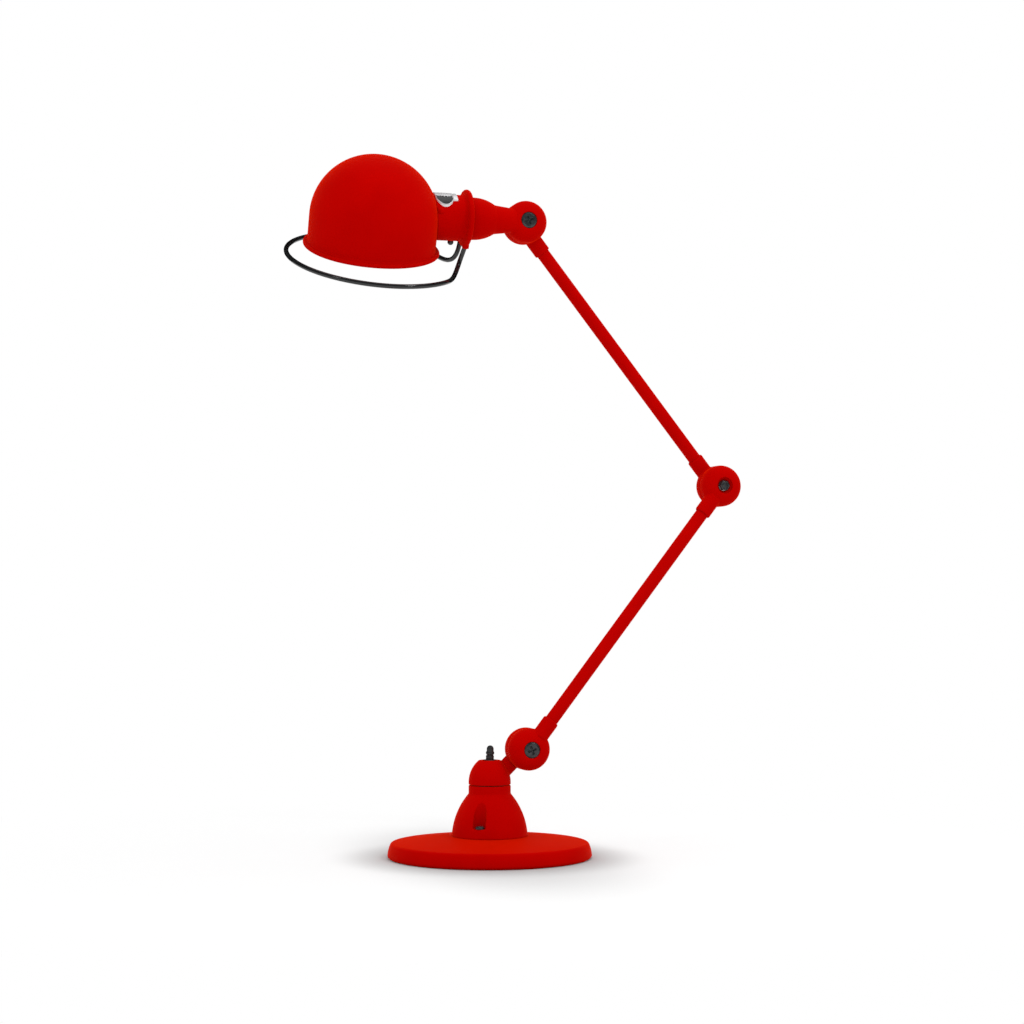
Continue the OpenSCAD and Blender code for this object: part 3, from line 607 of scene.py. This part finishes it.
def painted_floor_shadow(tree, shader, coords, stretch, reach, darkest):
    """A painted shadow round the foot: darkens the floor from darkest at the first reach, in metres, to none at
    the second.
    """
    squeeze = tree.nodes.new("ShaderNodeVectorMath")
    squeeze.operation = "MULTIPLY"
    squeeze.inputs[1].default_value = stretch
    length = tree.nodes.new("ShaderNodeVectorMath")
    length.operation = "LENGTH"
    shadow_falloff = tree.nodes.new("ShaderNodeMapRange")
    shadow_falloff.interpolation_type = "SMOOTHERSTEP"
    shadow_falloff.inputs["From Min"].default_value, shadow_falloff.inputs["From Max"].default_value = reach
    shadow_falloff.inputs["To Min"].default_value = darkest
    shadow_falloff.inputs["To Max"].default_value = 1.0
    # the floor's colour, scaled down by the painted shadow
    shade = tree.nodes.new("ShaderNodeVectorMath")
    shade.operation = "SCALE"
    tree.links.new(coords.outputs["Object"], squeeze.inputs[0])
    tree.links.new(squeeze.outputs["Vector"], length.inputs[0])
    tree.links.new(length.outputs["Value"], shadow_falloff.inputs["Value"])
    tree.links.new(shader.inputs["Base Color"].links[0].from_socket, shade.inputs[0])
    tree.links.new(shadow_falloff.outputs["Result"], shade.inputs["Scale"])
    tree.links.new(shade.outputs["Vector"], shader.inputs["Base Color"])


def stage():
    """A pale floor, with a painted shadow round the foot, that fades into the bright background with its distance
    from the lamp.
    """
    half_width = 12
    bm = bmesh.new()
    bmesh.ops.create_grid(bm, x_segments=8, y_segments=8, size=half_width)
    floor = bpy.data.objects.new("floor", mesh_of(bm, "floor"))
    bpy.context.scene.collection.objects.link(floor)
    material = finish_of("pale_floor", (0.84, 0.84, 0.84), (0.845, 0.845, 0.845), 4, (0.75, 0.85), 300,
                         0.00001, Specular_IOR_Level=0.0)
    tree = material.node_tree
    coords = tree.nodes.new("ShaderNodeTexCoord")
    length = tree.nodes.new("ShaderNodeVectorMath")
    length.operation = "LENGTH"
    fade = tree.nodes.new("ShaderNodeMapRange")
    fade.interpolation_type = "SMOOTHSTEP"
    fade.inputs["From Min"].default_value = 0.12
    fade.inputs["From Max"].default_value = 0.6
    glow = tree.nodes.new("ShaderNodeEmission")
    mix = tree.nodes.new("ShaderNodeMixShader")
    shader = tree.nodes["Principled BSDF"]
    # a painted contact shadow round the foot: a round one, and one that reaches further to the front and back
    painted_floor_shadow(tree, shader, coords, (1, 1, 1), (0.085, 0.155), 0.72)
    painted_floor_shadow(tree, shader, coords, (1, 0.45, 1), (0.03, 0.16), 0.74)
    tree.links.new(coords.outputs["Object"], length.inputs[0])
    tree.links.new(length.outputs["Value"], fade.inputs["Value"])
    tree.links.new(fade.outputs["Result"], mix.inputs["Fac"])
    tree.links.new(shader.outputs["BSDF"], mix.inputs[1])
    tree.links.new(glow.outputs["Emission"], mix.inputs[2])
    tree.links.new(mix.outputs["Shader"], tree.nodes["Material Output"].inputs["Surface"])
    floor.data.materials.append(material)


def area_light(name, place, target, size, watts):
    """A round light at place that faces target."""
    light = bpy.data.lights.new(name, "AREA")
    light.shape = "DISK"
    light.size = size
    light.energy = watts
    lamp = bpy.data.objects.new(name, light)
    bpy.context.scene.collection.objects.link(lamp)
    lamp.location = place
    lamp.rotation_euler = (Vector(target) - Vector(place)).to_track_quat("-Z", "Y").to_euler()


def camera():
    """The photo's point of view, in metres and radians."""
    yaw = 0.2687      # the camera looks this far towards +X
    pitch = 0.0361    # and this far up
    roll = -0.0012
    data = bpy.data.cameras.new("camera")
    data.sensor_width = 36
    data.lens = 75.64
    data.clip_start = 0.05
    data.clip_end = 60
    cam = bpy.data.objects.new("camera", data)
    bpy.context.scene.collection.objects.link(cam)
    cam.location = (-0.4933, -1.8678, 0.2389)
    look = Vector((math.sin(yaw) * math.cos(pitch), math.cos(yaw) * math.cos(pitch), math.sin(pitch)))
    facing = look.to_track_quat("-Z", "Y").to_matrix() @ Matrix.Rotation(roll, 3, "Z")
    cam.rotation_euler = facing.to_euler()
    bpy.context.scene.camera = cam


def lights():
    """An even white surround, with a broad light from above and two small ones that give the highlights."""
    world = bpy.data.worlds.new("studio")
    world.use_nodes = True
    world.node_tree.nodes["Background"].inputs["Color"].default_value = (1, 1, 1, 1)
    world.node_tree.nodes["Background"].inputs["Strength"].default_value = 1.0
    world.cycles_visibility.glossy = False
    bpy.context.scene.world = world
    middle = (0.05, 0, 0.3)
    area_light("key", (0.9, -1.2, 1.6), middle, 0.25, 5)
    area_light("side", (-1.2, -1.0, 1.3), middle, 0.25, 1.2)
    area_light("top", (0.1, 0.0, 2.2), middle, 1.6, 7)


stage()
lights()
camera()
bpy.context.scene.view_settings.view_transform = "Standard"
